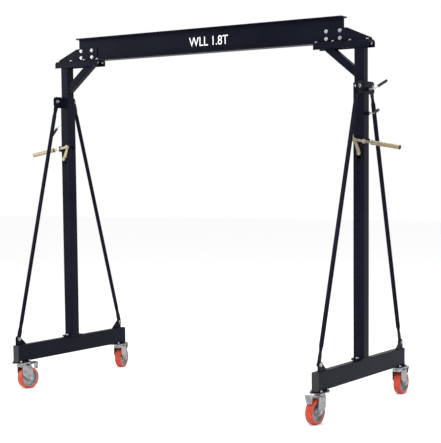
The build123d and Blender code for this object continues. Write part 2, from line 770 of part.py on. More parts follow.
lever_inner = (lever_inner_x, lever_z(lever_inner_x))
dog_tip = dog_place(0)
lever_plane = facing(*right(0, -lever_back), (0, -1, 0), across=(1, 0, 0))
dog_plane = facing(*right(0, -upright_width / 2 - side_gap), (0, -1, 0), across=(1, 0, 0))
lever_axis = Plane(origin=right(lever_pivot_x, -lever_back - lever_bar_thick / 2, lever_pivot_z),
                   x_dir=(0, 1, 0), z_dir=(cos(lever_tilt), 0, -sin(lever_tilt)))
sleeve_from = (lever_sleeve_start - lever_pivot_x) / cos(lever_tilt)
sleeve_to = (lever_end_x - lever_pivot_x) / cos(lever_tilt)
inner_from = (lever_inner_x - lever_pivot_x) / cos(lever_tilt)

with BuildPart() as fulcrum_bracket:
    with BuildSketch(front_face):
        with Locations((lever_pivot_x, lever_pivot_z)):
            Circle(bracket_height / 2)
        with Locations((lever_pivot_x - bracket_root / 2, lever_pivot_z)):
            Rectangle(bracket_root, bracket_height)
        with Locations((lever_pivot_x, lever_pivot_z)):
            Circle(lever_pin_dia / 2, mode=Mode.SUBTRACT)
    extrude(amount=bracket_thick)
save_group(on_both_stands([fulcrum_bracket.part]), "fulcrum_brackets")

with BuildPart() as lift_lever:
    with BuildSketch(lever_axis.offset(inner_from)):
        Rectangle(lever_bar_thick, lever_bar_height)
    extrude(amount=sleeve_to - inner_from)
    with BuildSketch(lever_axis.offset(sleeve_from)):
        Circle(lever_sleeve_dia / 2)
    extrude(amount=sleeve_to - sleeve_from)
    with BuildSketch(lever_plane):
        with Locations((lever_pivot_x, lever_pivot_z), lever_inner):
            Circle(lever_boss_dia / 2)
    extrude(amount=lever_bar_thick)
    with BuildSketch(lever_plane):
        with Locations((lever_pivot_x, lever_pivot_z)):
            Circle(lever_pin_dia / 2 + lever_play / 2)
    extrude(amount=lever_bar_thick, mode=Mode.SUBTRACT)
    with BuildSketch(lever_plane):
        with Locations(lever_inner):
            Circle(dog_pin_dia / 2)
    extrude(amount=-(lever_back - upright_width / 2 - side_gap))
save_pair(lift_lever.part, "lift_lever")

with BuildPart() as lift_dog:
    with BuildSketch(dog_plane) as link:
        with Locations(lever_inner):
            Circle(dog_eye_dia / 2)
        with Locations(dog_tip):
            Circle(dog_hub_dia / 2)
        make_hull()
        with Locations(lever_inner):
            Circle(dog_pin_dia / 2 + lever_play / 2, mode=Mode.SUBTRACT)
    extrude(amount=dog_thick)
    with BuildSketch(dog_plane):
        with Locations(dog_tip):
            Circle(dog_hub_dia / 2)
    extrude(amount=dog_thick + dog_hub_proud)
    with BuildSketch(dog_plane):
        with Locations(dog_tip):
            Circle(dog_tip_dia / 2)
    extrude(amount=-(upright_wall + side_gap))
save_pair(lift_dog.part, "lift_dog")

with BuildPart() as lever_pivot_bolt:
    bolt_seat = facing(*right(lever_pivot_x, -lever_front - side_gap, lever_pivot_z), (0, -1, 0),
                       across=(1, 0, 0))
    with BuildSketch(bolt_seat):
        RegularPolygon(radius=0.8 * lever_pin_dia, side_count=6, major_radius=False)
    extrude(amount=0.65 * lever_pin_dia)
    with BuildSketch(bolt_seat):
        Circle(lever_pin_dia / 2)
    extrude(amount=-(lever_bar_thick + 2 * side_gap + bracket_thick))
save_group(on_both_stands([lever_pivot_bolt.part]), "lever_pivot_bolts")


# ---------------------------------------------------------------- casters, drawn with the swivel axis at X0 Y0

with BuildPart() as mount_plate:
    with BuildSketch(Plane.XY.offset(caster_plate_top)):
        RectangleRounded(plate_width, plate_length, plate_corner)
        with GridLocations(2 * caster_bolt_x, 2 * caster_bolt_y, 2, 2):
            Circle((caster_bolt + hole_play) / 2, mode=Mode.SUBTRACT)
    extrude(amount=mount_plate_thick)

with BuildPart() as caster_plate:
    with BuildSketch(Plane.XY.offset(caster_plate_bottom)):
        RectangleRounded(plate_width, plate_length, plate_corner)
        with GridLocations(2 * caster_bolt_x, 2 * caster_bolt_y, 2, 2):
            Circle((caster_bolt + hole_play) / 2, mode=Mode.SUBTRACT)
    extrude(amount=caster_plate_thick)
    with BuildSketch(Plane.XY.offset(upper_race_bottom)):
        Circle(race_dia / 2)
    extrude(amount=upper_race)
    with BuildSketch(Plane.XY.offset(crown_underside - race_gap)):
        Circle(kingpin_dia / 2)
    extrude(amount=upper_race_bottom - crown_underside + race_gap)
    with BuildSketch(Plane.XY.offset(crown_underside - race_gap)):
        RegularPolygon(radius=kingpin_nut_flats / 2, side_count=6, major_radius=False)
    extrude(amount=-kingpin_nut_thick)

fork_side = Plane(origin=(-fork_gap / 2 - fork_thick, 0, 0), x_dir=(0, 1, 0), z_dir=(1, 0, 0))
with BuildPart() as fork:
    with BuildSketch(fork_side):
        with Locations((caster_trail, wheel_radius)):
            Circle(fork_eye_dia / 2)
        with Locations((leg_belly_dia / 2 - leg_front, leg_belly_z)):
            Circle(leg_belly_dia / 2)
        with Locations(((leg_back - leg_front) / 2, crown_top - leg_top_depth / 2)):
            Rectangle(leg_back + leg_front, leg_top_depth)
        make_hull()
        with Locations((pedal_pivot_y, pedal_pivot_z)):
            Circle(pedal_ear_dia / 2)
        with Locations((pedal_pivot_y - pedal_ear_back / 2, pedal_pivot_z - pedal_ear_drop / 2)):
            Rectangle(pedal_ear_back, pedal_ear_drop)
        with Locations((caster_trail, wheel_radius)):
            Circle(axle_dia / 2, mode=Mode.SUBTRACT)
        with Locations((pedal_pivot_y, pedal_pivot_z)):
            Circle(pedal_pin_dia / 2, mode=Mode.SUBTRACT)
    extrude(amount=fork_gap + 2 * fork_thick)
    with BuildSketch(fork_side.offset(fork_thick)):
        with Locations((caster_trail, crown_underside - wheel_dia)):
            Rectangle(4 * wheel_dia, 2 * wheel_dia)
        with Locations((crown_back + wheel_radius, crown_top)):
            Rectangle(wheel_dia, wheel_radius)
    extrude(amount=fork_gap, mode=Mode.SUBTRACT)
    with BuildSketch(Plane.XY.offset(crown_underside)):
        Circle(race_dia / 2 + race_flange)
    extrude(amount=crown_thick + lower_race)
    with BuildSketch(Plane.XY.offset(crown_underside)):
        Circle(kingpin_dia / 2 + axle_play / 2)
    extrude(amount=crown_thick + lower_race, mode=Mode.SUBTRACT)

axle_seat = Plane(origin=(fork_gap / 2 + fork_thick, caster_trail, wheel_radius), x_dir=(0, 1, 0),
                  z_dir=(1, 0, 0))
with BuildPart() as axle:
    with BuildSketch(axle_seat):
        RegularPolygon(radius=0.8 * axle_dia, side_count=6, major_radius=False)
    extrude(amount=axle_head)
    with BuildSketch(axle_seat):
        Circle(axle_dia / 2)
    extrude(amount=-(fork_gap + 2 * fork_thick))
    with BuildSketch(axle_seat.offset(-(fork_gap + 2 * fork_thick))):
        RegularPolygon(radius=0.8 * axle_dia, side_count=6, major_radius=False)
    extrude(amount=-axle_nut)

wheel_profile_plane = Plane(origin=(0, caster_trail, wheel_radius), x_dir=(1, 0, 0), z_dir=(0, -1, 0))
wheel_axis = Axis((0, caster_trail, wheel_radius), (1, 0, 0))
core_half = [
    (hub_width / 2, (axle_dia + axle_play) / 2),
    (hub_width / 2, hub_dia / 2 - hub_corner),
    (hub_width / 2 - hub_corner, hub_dia / 2),
    (core_web / 2, hub_dia / 2 + hub_corner),
    (core_web / 2, core_dia / 2 - rim_thick),
    (wheel_width / 2 - rim_lip, core_dia / 2 - rim_thick + rim_lip),
    (wheel_width / 2 - rim_lip, core_dia / 2),
]

with BuildPart() as wheel_core:
    with BuildSketch(wheel_profile_plane):
        with BuildLine():
            Polyline(*core_half, *[(-x, radius) for x, radius in reversed(core_half)], close=True)
        make_face()
    revolve(axis=wheel_axis)

with BuildPart() as tread:
    with BuildSketch(wheel_profile_plane):
        with Locations((0, (core_dia + wheel_dia) / 4)):
            Rectangle(wheel_width, (wheel_dia - core_dia) / 2)
    revolve(axis=wheel_axis)
    fillet(tread.edges().filter_by(GeomType.CIRCLE)
           .filter_by(lambda edge: edge.radius > wheel_radius - 1), tread_corner)

pedal_slope = tan(radians(pedal_climb))
pedal_start_y = pedal_pivot_y - pedal_heel
pedal_under_z = pedal_pivot_z + pedal_rise
pedal_side = Plane(origin=(-pedal_width / 2, 0, 0), x_dir=(0, 1, 0), z_dir=(1, 0, 0))
tread_side = Plane(origin=(-pedal_tread_width / 2, 0, 0), x_dir=(0, 1, 0), z_dir=(1, 0, 0))
tongue_top_z = pedal_under_z + (pedal_reach - pedal_start_y) * pedal_slope + pedal_thick / 2
tongue_end_z = wheel_dia - tongue_drop


def pedal_strip(from_y, to_y):
    """Corners of the pedal's thickness between two distances from the swivel axis."""
    heights = [pedal_under_z + (y - pedal_start_y) * pedal_slope for y in (from_y, to_y)]
    return [(from_y, heights[0]), (to_y, heights[1]),
            (to_y, heights[1] + pedal_thick), (from_y, heights[0] + pedal_thick)]


with BuildPart() as brake_pedal:
    with BuildSketch(pedal_side):
        Polygon(*pedal_strip(pedal_start_y, pedal_reach), align=None)
    extrude(amount=pedal_width)
    with BuildSketch(tread_side):
        Polygon(*pedal_strip(pedal_tread_start, pedal_reach), align=None)
    extrude(amount=pedal_tread_width)
    with BuildSketch(facing(0, pedal_reach, 0, (0, -1, 0), across=(1, 0, 0))):
        Polygon((-tongue_end_width / 2, tongue_end_z), (tongue_end_width / 2, tongue_end_z),
                (tongue_top_width / 2, tongue_top_z), (-tongue_top_width / 2, tongue_top_z), align=None)
    extrude(amount=pedal_thick)
    with BuildSketch(pedal_side):
        with Locations((pedal_pivot_y, pedal_pivot_z)):
            Circle(pedal_barrel_dia / 2)
        with Locations((pedal_pivot_y, pedal_pivot_z + (pedal_rise + pedal_thick) / 2)):
            Rectangle(pedal_barrel_dia, pedal_rise + pedal_thick)
        with Locations((pedal_pivot_y, pedal_pivot_z)):
            Circle(pedal_pin_dia / 2 + lever_play / 2, mode=Mode.SUBTRACT)
    extrude(amount=pedal_width)

with BuildPart() as pedal_pin:
    with BuildSketch(fork_side):
        with Locations((pedal_pivot_y, pedal_pivot_z)):
            Circle(pedal_pin_dia / 2)
    extrude(amount=fork_gap + 2 * fork_thick)

# Where each caster stands and how far it has swivelled; at 0 degrees it trails towards the rear.
casters = {
    "front_right": (leg_x, -pivot_y, 176.0),
    "rear_right": (leg_x, pivot_y, 0.0),
    "front_left": (-leg_x, -pivot_y, -13.0),
    "rear_left": (-leg_x, pivot_y, 13.0),
}
mount_plates = []
caster_plates = []
caster_bolts = []
for name, (x, y, turn) in casters.items():
    here = Location((x, y, 0))
    swivelled = Location((x, y, 0), (0, 0, turn))
    mount_plates.append(mount_plate.part.moved(here))
    caster_plates.append(caster_plate.part.moved(here))
    for side_x in (-1, 1):
        for side_y in (-1, 1):
            seat = facing(x + side_x * caster_bolt_x, y + side_y * caster_bolt_y, caster_plate_bottom,
                          (0, 0, -1))
            caster_bolts += hex_bolt(seat, caster_bolt, mount_plate_thick + caster_plate_thick)
    save(fork.part.moved(swivelled), f"{name}_fork")
    save_group([axle.part.moved(swivelled), pedal_pin.part.moved(swivelled)], f"{name}_axle_and_pin")
    save(wheel_core.part.moved(swivelled), f"{name}_wheel_core")
    save(tread.part.moved(swivelled), f"{name}_tread")
    save(brake_pedal.part.moved(swivelled), f"{name}_brake_pedal")
save_group(mount_plates, "mount_plates")
save_group(caster_plates, "caster_plates")
save_group(caster_bolts, "caster_bolts")

print("pivot of the right lever", right(lever_pivot_x, -lever_back, lever_pivot_z))
print("joint of the right dog", right(lever_inner[0], -lever_back, lever_inner[1]))
print("pins at", upper_pin_z, lower_pin_z, "brace length", round(brace_length, 1),
      "angle", round(degrees(atan2(brace_run, brace_rise)), 2))
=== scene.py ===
# %% [markdown]
# # A portable gantry crane, dressed in Blender
# The crane's tubes, plates, bolts, pins and wheels come from a CAD model that is already the right
# size. Blender adds what CAD leaves out: the finish of each surface and the small things that make
# it look made, such as weld beads, washers, threads, ribbed grips and the marking on the beam.

# %% Load the frame
import json
from math import cos, pi, radians, sin

import bpy
import numpy as np
from mathutils import Matrix, Vector


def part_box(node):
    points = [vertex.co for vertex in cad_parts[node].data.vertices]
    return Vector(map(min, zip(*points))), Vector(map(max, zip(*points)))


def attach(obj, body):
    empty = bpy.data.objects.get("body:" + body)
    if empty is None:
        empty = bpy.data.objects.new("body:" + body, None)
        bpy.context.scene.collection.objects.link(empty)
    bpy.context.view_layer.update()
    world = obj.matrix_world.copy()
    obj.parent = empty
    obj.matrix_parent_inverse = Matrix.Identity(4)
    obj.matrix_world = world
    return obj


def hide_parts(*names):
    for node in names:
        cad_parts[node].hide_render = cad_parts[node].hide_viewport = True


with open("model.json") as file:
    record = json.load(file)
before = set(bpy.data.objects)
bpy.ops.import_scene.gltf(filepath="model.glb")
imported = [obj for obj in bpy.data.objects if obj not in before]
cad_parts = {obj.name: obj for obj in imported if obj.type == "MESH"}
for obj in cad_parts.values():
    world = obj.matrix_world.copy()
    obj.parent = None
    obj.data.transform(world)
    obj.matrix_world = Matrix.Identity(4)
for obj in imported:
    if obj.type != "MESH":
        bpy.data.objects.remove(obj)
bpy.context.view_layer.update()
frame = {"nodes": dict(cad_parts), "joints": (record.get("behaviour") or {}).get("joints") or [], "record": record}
joints = {joint["name"]: joint for joint in frame["joints"]}

# %% [markdown]
# ## The camera
# A product picture of something this tall is taken from far away with a long lens, so that the two
# stands look nearly the same size. The camera could be aimed with a Track To constraint, but the
# upright lines of the picture are almost parallel, which needs a nearly level camera and a shifted
# lens instead. So its axes are worked out from a heading, a small dip and a trace of roll.

# %% Place the camera
heading, dip, roll = radians(32.57), radians(4.58), radians(-0.49)

ahead = Vector((-sin(heading) * cos(dip), cos(heading) * cos(dip), -sin(dip)))
level_right = Vector((cos(heading), sin(heading), 0))
level_up = level_right.cross(ahead)
right_axis = level_right * cos(roll) + level_up * sin(roll)
up_axis = level_up * cos(roll) - level_right * sin(roll)

camera = bpy.data.objects.new("camera", bpy.data.cameras.new("camera"))
bpy.context.scene.collection.objects.link(camera)
camera.matrix_world = Matrix.Translation((4.6547, -6.9258, 1.4788)) @ Matrix(
    (right_axis, up_axis, -ahead)).transposed().to_4x4()
camera.data.sensor_width = 36.0
camera.data.sensor_fit = "HORIZONTAL"
camera.data.lens = 99.26
camera.data.shift_x, camera.data.shift_y = -0.0288, 0.1209
camera.data.clip_end = 100.0
bpy.context.scene.camera = camera
print("camera looks along", [round(value, 3) for value in ahead])

# %% [markdown]
# ## The studio
# Dark, glossy paint shows its lights more than its own colour. Small lamps would leave hard white
# spots on it, so the studio uses a pale floor, an even pale world and a few large soft panels. The
# default view transform turns white into light grey, which suits bright daylight scenes. A catalogue
# picture wants its white page white and its dark paint dark, so the plain transform is used instead.

# %% Floor, world and light panels
bpy.context.scene.view_settings.view_transform = "Standard"
studio_radius = 30.0
floor_white = (0.96, 0.96, 0.96, 1.0)


def flat_sheet(name, half):
    """A square sheet on the floor: its corners are half a side either way from the origin."""
    mesh = bpy.data.meshes.new(name)
    mesh.from_pydata([(-half, -half, 0), (half, -half, 0), (half, half, 0), (-half, half, 0)], [],
                     [(0, 1, 2, 3)])
    sheet = bpy.data.objects.new(name, mesh)
    bpy.context.scene.collection.objects.link(sheet)
    return sheet


floor = flat_sheet("studio_floor", studio_radius)
floor_finish = bpy.data.materials.new("studio_floor")
floor_finish.use_nodes = True
floor_shader = floor_finish.node_tree.nodes["Principled BSDF"]
floor_shader.inputs["Base Color"].default_value = floor_white
floor_shader.inputs["Roughness"].default_value = 0.9
floor_shader.inputs["Specular IOR Level"].default_value = 0.1
floor.data.materials.append(floor_finish)

world = bpy.data.worlds.new("studio")
world.use_nodes = True
world.node_tree.nodes["Background"].inputs["Color"].default_value = (1.0, 1.0, 1.0, 1.0)
world.node_tree.nodes["Background"].inputs["Strength"].default_value = 1.0
bpy.context.scene.world = world


def light_panel(name, place, target, size, watts, colour=(1.0, 1.0, 1.0)):
    """A square soft light that faces a target."""
    lamp = bpy.data.lights.new(name, "AREA")
    lamp.shape, lamp.size, lamp.energy, lamp.color = "SQUARE", size, watts, colour
    panel = bpy.data.objects.new(name, lamp)
    panel.location = place
    panel.rotation_euler = (Vector(target) - Vector(place)).to_track_quat("-Z", "Y").to_euler()
    bpy.context.scene.collection.objects.link(panel)


light_panel("key_panel", (3.5, -6.0, 5.5), (0, 0, 1.0), 3.0, 260.0)
light_panel("side_panel", (-6.0, -3.5, 3.0), (0, 0, 1.2), 3.0, 160.0, (0.93, 0.96, 1.0))
light_panel("top_panel", (0.0, 1.0, 6.5), (0, 0, 0.5), 4.0, 160.0)

# %% [markdown]
# ## Writing materials as sums
# A material in Blender is a graph of nodes. Wiring it by hand in Python is long and hard to read,
# so two small classes do it. A Wire is one output of a node, and adding or multiplying wires adds
# the Math nodes. A Finish is one material, and its node() makes any other kind of node.

# %% Wire and Finish
class Wire:
    """An output of a node. Arithmetic on it adds Math nodes, also with the number on the left."""

    def __init__(self, finish, socket):
        self.finish, self.socket = finish, socket

    def math(self, operation, *values):
        return self.finish.node("ShaderNodeMath", {"operation": operation}, dict(enumerate(values)))

    def __add__(self, other):
        return self.math("ADD", self, other)

    def __mul__(self, other):
        return self.math("MULTIPLY", self, other)

    def __sub__(self, other):
        return self.math("SUBTRACT", self, other)

    def __rsub__(self, other):
        return self.math("SUBTRACT", other, self)

    __radd__, __rmul__ = __add__, __mul__

    def size(self):
        """The same value with its sign taken away."""
        return self.math("ABSOLUTE", self)

    def between(self, low, high):
        """0 at low and under, 1 at high and over, and a smooth rise between."""
        return self.finish.node("ShaderNodeMapRange", {"interpolation_type": "SMOOTHSTEP"},
                                {"Value": self, "From Min": low, "From Max": high})


class Finish:
    """A material whose pattern is fixed to the metal by the object's own coordinates."""

    def __init__(self, name, **constants):
        self.material = bpy.data.materials.new(name)
        self.material.use_nodes = True
        self.tree = self.material.node_tree
        self.shader = self.tree.nodes["Principled BSDF"]
        for socket, value in constants.items():
            self.shader.inputs[socket.replace("_", " ")].default_value = value
        self.place = self.node("ShaderNodeTexCoord", output="Object")

    def node(self, kind, settings=None, inputs=None, output=0):
        """Adds a node: its settings first, then its inputs, and gives one of its outputs."""
        made = self.tree.nodes.new(kind)
        for name, value in (settings or {}).items():
            if name == "stops":
                ramp = made.color_ramp.elements
                for _ in range(len(value) - 2):
                    ramp.new(0.5)
                for stop, (position, colour) in zip(ramp, value):
                    stop.position, stop.color = position, (*colour, 1.0)
            else:
                setattr(made, name, value)
        for name, value in (inputs or {}).items():
            if isinstance(value, Wire):
                self.tree.links.new(value.socket, made.inputs[name])
            else:
                made.inputs[name].default_value = value
        return Wire(self, made.outputs[output])

    def placed(self, stretch=(1, 1, 1), centre=(0, 0, 0), turn=0.0):
        """Object coordinates moved so that centre is zero, turned about Z and then stretched."""
        moved = self.node("ShaderNodeMapping", {"vector_type": "TEXTURE"},
                          {"Vector": self.place, "Location": centre, "Rotation": (0, 0, turn)})
        return self.node("ShaderNodeVectorMath", {"operation": "MULTIPLY"}, {0: moved, 1: stretch})

    def noise(self, scale, stretch=(1, 1, 1), detail=2.0, distortion=0.0):
        """Smooth random patches, about 1 / scale metres across, with values round 0.5."""
        return self.node("ShaderNodeTexNoise", None,
                         {"Vector": self.placed(stretch), "Scale": scale, "Detail": detail,
                          "Distortion": distortion})

    def mixed(self, share, first, second):
        """A colour that goes from first to second as share goes from 0 to 1."""
        colours = [value if isinstance(value, Wire) else (*value, 1.0) for value in (first, second)]
        return self.node("ShaderNodeMix", {"data_type": "RGBA"},
                         {0: share, 6: colours[0], 7: colours[1]}, output=2)

    def feed(self, socket, wire):
        """Drives one input of the shader with a wire."""
        self.tree.links.new(wire.socket, self.shader.inputs[socket])

    def relief(self, height, depth):
        """Shades the surface as if height, from 0 to 1, stood that many metres out of it."""
        bump = self.node("ShaderNodeBump", None, {"Height": height, "Distance": depth, "Strength": 1.0})
        self.feed("Normal", bump)


print("materials are written with", Wire.__name__, "and", Finish.__name__)

# %% [markdown]
# ## Powder coat
# The frame is sprayed with dry paint powder and baked. The skin that is left is never quite level:
# seen close, it has the fine waviness of orange peel, and its gloss changes a little from place to
# place. Handling leaves faint, lighter scuffs. Three noises of different sizes make these.

# %% Powder coat
paint_colour = (0.0026, 0.0033, 0.0085)
paint_bloom = (0.0060, 0.0070, 0.0140)
paint_scuff = (0.0300, 0.0330, 0.0430)


def powder_coat(name, slide_marks=False):
    """Dark blue-black powder coat; a sliding tube also gets fine upright rub marks."""
    coat = Finish(name, Specular_IOR_Level=0.035, Coat_Roughness=0.18)
    patches = coat.noise(3.0, detail=4.0)
    mottle = coat.noise(26.0, detail=3.0)
    peel = coat.noise(420.0, detail=2.0)
    scuffs = (coat.noise(9.0, stretch=(1.0, 1.0, 3.0), detail=6.0, distortion=1.2).between(0.66, 0.74)
              * coat.noise(150.0, detail=3.0).between(0.48, 0.62))
    if slide_marks:
        rubs = coat.noise(24.0, stretch=(9.0, 9.0, 0.35), detail=4.0).between(0.57, 0.68)
        scuffs = scuffs + rubs * 0.35
    ground = coat.mixed(patches.between(0.3, 0.75) * 0.6 + mottle * 0.3, paint_colour, paint_bloom)
    coat.feed("Base Color", coat.mixed(scuffs * 0.45, ground, paint_scuff))
    coat.feed("Roughness", 0.33 + mottle * 0.12 + scuffs * 0.2)
    coat.feed("Coat Weight", 0.03 - scuffs * 0.02)
    coat.relief(peel * 0.7 + mottle * 0.3, 0.00012)
    return coat.material


frame_coat = powder_coat("powder_coat")
mast_coat = powder_coat("powder_coat_rubbed", slide_marks=True)
print("painted finishes", frame_coat.name, mast_coat.name)

# %% [markdown]
# ## Zinc plate
# Bolts, pins and casters are steel under a skin of zinc a few thousandths of a millimetre thick.
# It is bright but soft, so it has a cloudy sheen and hair-fine marks. Levers have the yellow kind,
# whose thin oxide film shows gold, green and rose at once, as oil on water does. A ramp of those
# colours over a slow noise gives the film.

# %% Zinc finishes
def zinc_plate(name, bright, dull, roughness, grain=(1.0, 1.0, 1.0)):
    """Clouded bright metal, with fine marks along the direction in which the grain is least."""
    plate = Finish(name, Metallic=1.0)
    clouds = plate.noise(38.0, detail=5.0, distortion=0.6)
    marks = plate.noise(260.0, stretch=grain, detail=3.0)
    plate.feed("Base Color", plate.mixed(clouds.between(0.3, 0.7), bright, dull))
    plate.feed("Roughness", roughness + clouds * 0.14 + marks * 0.10)
    plate.relief(marks, 0.00006)
    return plate.material


def yellow_film(name):
    """Yellow passivated zinc: gold that drifts to green and rose."""
    film = Finish(name, Metallic=1.0)
    drift = film.noise(17.0, detail=4.0, distortion=1.5)
    marks = film.noise(240.0, stretch=(0.2, 1.0, 1.0), detail=3.0)
    colours = film.node("ShaderNodeValToRGB", {"stops": [
        (0.30, (0.24, 0.19, 0.11)), (0.46, (0.32, 0.26, 0.16)), (0.56, (0.22, 0.21, 0.14)),
        (0.68, (0.28, 0.20, 0.14))]}, {"Fac": drift})
    film.feed("Base Color", film.mixed(marks.between(0.4, 0.8) * 0.3, colours, (0.46, 0.42, 0.35)))
    film.feed("Roughness", 0.26 + drift * 0.16 + marks * 0.08)
    film.relief(marks, 0.00006)
    return film.material


bolt_zinc = zinc_plate("bright_zinc", (0.52, 0.53, 0.55), (0.33, 0.34, 0.36), 0.20)
caster_zinc = zinc_plate("pressed_zinc", (0.36, 0.36, 0.37), (0.21, 0.21, 0.22), 0.28, (1.0, 1.0, 0.15))
lever_zinc = yellow_film("yellow_zinc")
print("plated finishes", bolt_zinc.name, caster_zinc.name, lever_zinc.name)

# %% [markdown]
# ## Wheels, grips and caps
# The wheels have a cast core in silver-grey paint under a poured polyurethane tyre. A cast surface
# is pitted at the scale of the sand it was poured in, and polyurethane is smooth with a waxy sheen
# and a dusty band where it meets the floor. The band is a function of how far a point is from the
# wheel's middle plane, so each wheel needs its own pattern, centred on its axle.

# %% Wheel, grip and cap finishes
tyre_orange, tyre_shade, floor_dust = (0.50, 0.048, 0.012), (0.34, 0.022, 0.009), (0.30, 0.12, 0.09)


def cast_core(name):
    """Silver-grey paint over a sand casting, with pits and a few dark pores."""
    core = Finish(name, Metallic=0.55, Specular_IOR_Level=0.5)
    sand = core.noise(330.0, detail=5.0)
    pores = core.node("ShaderNodeTexVoronoi", None, {"Vector": core.place, "Scale": 120.0})
    flow = core.noise(22.0, detail=3.0)
    shade = core.mixed(flow.between(0.3, 0.7), (0.36, 0.37, 0.39), (0.25, 0.26, 0.28))
    core.feed("Base Color", core.mixed(0.5 * (1 - pores.between(0.05, 0.16)), shade, (0.09, 0.09, 0.10)))
    core.feed("Roughness", 0.42 + sand * 0.2)
    core.relief(sand * 0.7 + pores * 0.3, 0.0003)
    return core.material


def poured_tyre(name, axle, turn):
    """Orange polyurethane, dusty over the middle of its width; axle is its centre, turn its angle."""
    tyre = Finish(name, Specular_IOR_Level=0.30, Coat_Roughness=0.25, Subsurface_Weight=0.08,
                  Subsurface_Scale=0.004)
    across = tyre.node("ShaderNodeSeparateXYZ", None, {0: tyre.placed(centre=axle, turn=turn)}, "X")
    swirl = tyre.noise(30.0, detail=4.0, distortion=2.0)
    grit = tyre.noise(520.0, detail=3.0)
    band = (1 - across.size().between(0.012, 0.022)) * grit.between(0.40, 0.66)
    ground = tyre.mixed(swirl.between(0.35, 0.75), tyre_orange, tyre_shade)
    tyre.feed("Base Color", tyre.mixed(band * 0.22, ground, floor_dust))
    tyre.feed("Roughness", 0.30 + swirl * 0.12 + band * 0.25)
    tyre.feed("Coat Weight", 0.12 - band * 0.1)
    tyre.relief(grit * 0.5 + swirl * 0.5, 0.00015)
    return tyre.material


def moulded(name, dark, light, roughness, grain_scale, depth):
    """Black rubber or plastic with the fine grain of its mould."""
    skin = Finish(name, Specular_IOR_Level=0.35)
    grain = skin.noise(grain_scale, detail=3.0)
    wear = skin.noise(14.0, detail=5.0).between(0.45, 0.75)
    skin.feed("Base Color", skin.mixed(wear * 0.6 + grain * 0.2, dark, light))
    skin.feed("Roughness", roughness + grain * 0.12 + wear * 0.08)
    skin.relief(grain, depth)
    return skin.material


core_paint = cast_core("cast_core")
grip_rubber = moulded("grip_rubber", (0.010, 0.010, 0.011), (0.030, 0.030, 0.031), 0.50, 900.0, 0.0001)
cap_plastic = moulded("cap_plastic", (0.012, 0.012, 0.014), (0.026, 0.026, 0.029), 0.42, 700.0, 0.00012)
print("moulded and cast finishes", core_paint.name, grip_rubber.name, cap_plastic.name)

# %% [markdown]
# ## Where the casters stand
# Each caster has swivelled to its own angle. The joints say where the swivel and the axle are, and
# the line between them is the way that the caster trails. Everything later on a caster is placed in
# these three directions: along the trail, across it, and up.

# %% Caster directions
corners = ("front_right", "rear_right", "front_left", "rear_left")


def caster_axes(corner):
    """Swivel centre, axle centre, and the unit vectors across the wheel and along its trail."""
    swivel = np.array(joints[f"{corner}_swivel_turn"]["pos_m"])
    axle = np.array(joints[f"{corner}_wheel_spin"]["pos_m"])
    trail = (axle - swivel) * (1, 1, 0)
    trail /= np.linalg.norm(trail)
    return swivel, axle, np.array((trail[1], -trail[0], 0.0)), trail


tyre_finishes = {}
for corner in corners:
    _, axle, across, _ = caster_axes(corner)
    angle = float(np.arctan2(across[1], across[0]))
    tyre_finishes[corner] = poured_tyre(f"{corner}_tyre", tuple(axle), angle)
    print(corner, "has swivelled", round(np.degrees(angle), 1), "degrees")

# %% Give every CAD node its finish
finish_of_slot = {
    "frame_paint": frame_coat, "zinc": bolt_zinc, "yellow_zinc": lever_zinc, "grip": grip_rubber,
    "cap": cap_plastic, "caster_zinc": caster_zinc, "wheel_core": core_paint,
}
slot_of = {entry["node"]: entry["material_slot"] for entry in frame["record"]["subparts"]}


def finish_of(node):
    """The finish of a CAD node: its slot's, except on the sliding masts and on the tyres."""
    if node.endswith("inner_mast"):
        return mast_coat
    if node.endswith("tread"):
        return tyre_finishes[node.removesuffix("_tread")]
    return finish_of_slot[slot_of[node]]


for node, thing in frame["nodes"].items():
    for slot in thing.material_slots:
        slot.material = finish_of(node)
print(len(frame["nodes"]), "CAD nodes have a finish")

# %% [markdown]
# ## Closed skins from grids of points
# Every new piece is one or more closed skins, and each skin is a grid of points: rows along the
# piece, columns round it. Neighbouring points make four-sided faces. A skin whose rows run in a
# loop closes on itself, and any other gets a face at each end. If the volume inside comes out
# negative the faces point inwards, so they are turned round.

# %% The skin maker
def outward(faces, points):
    """Turns the faces round if the sum of their tetrahedra to the origin is negative."""
    middle = points.mean(0)
    volume = 0.0
    for group in faces:
        first = points[group[:, 0]] - middle
        for step in range(1, group.shape[1] - 1):
            fan = np.cross(points[group[:, step]] - middle, points[group[:, step + 1]] - middle)
            volume += float((first * fan).sum())
    return faces if volume > 0 else [group[:, ::-1] for group in faces]


def skin_faces(grid, loop):
    """Quads between neighbouring rows and columns, and a face over each end of an open skin."""
    rows, columns = grid.shape[:2]
    index = np.arange(rows * columns).reshape(rows, columns)
    following = np.roll(index, -1, axis=0) if loop else index[1:]
    here = index if loop else index[:-1]
    quads = np.stack([here, np.roll(here, -1, 1), np.roll(following, -1, 1), following], -1)
    faces = [quads.reshape(-1, 4)]
    if not loop:
        faces += [index[:1, ::-1], index[-1:]]
    return outward(faces, grid.reshape(-1, 3))


def piece(name, skins, finish, body, smooth=True):
    """A mesh object of several skins, each a (grid, loop) pair, that rides on a body."""
    points, faces, start = [], [], 0
    for grid, loop in skins:
        points.append(grid.reshape(-1, 3))
        for group in skin_faces(grid, loop):
            faces += (group + start).tolist()
        start += len(points[-1])
    mesh = bpy.data.meshes.new(name)
    mesh.from_pydata(np.concatenate(points).tolist(), [], faces)
    mesh.polygons.foreach_set("use_smooth", np.full(len(faces), smooth))
    mesh.materials.append(finish)
    made = bpy.data.objects.new(name, mesh)
    bpy.context.scene.collection.objects.link(made)
    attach(made, body)
    print(name, "has", len(skins), "skins and", len(faces), "faces")
    return made


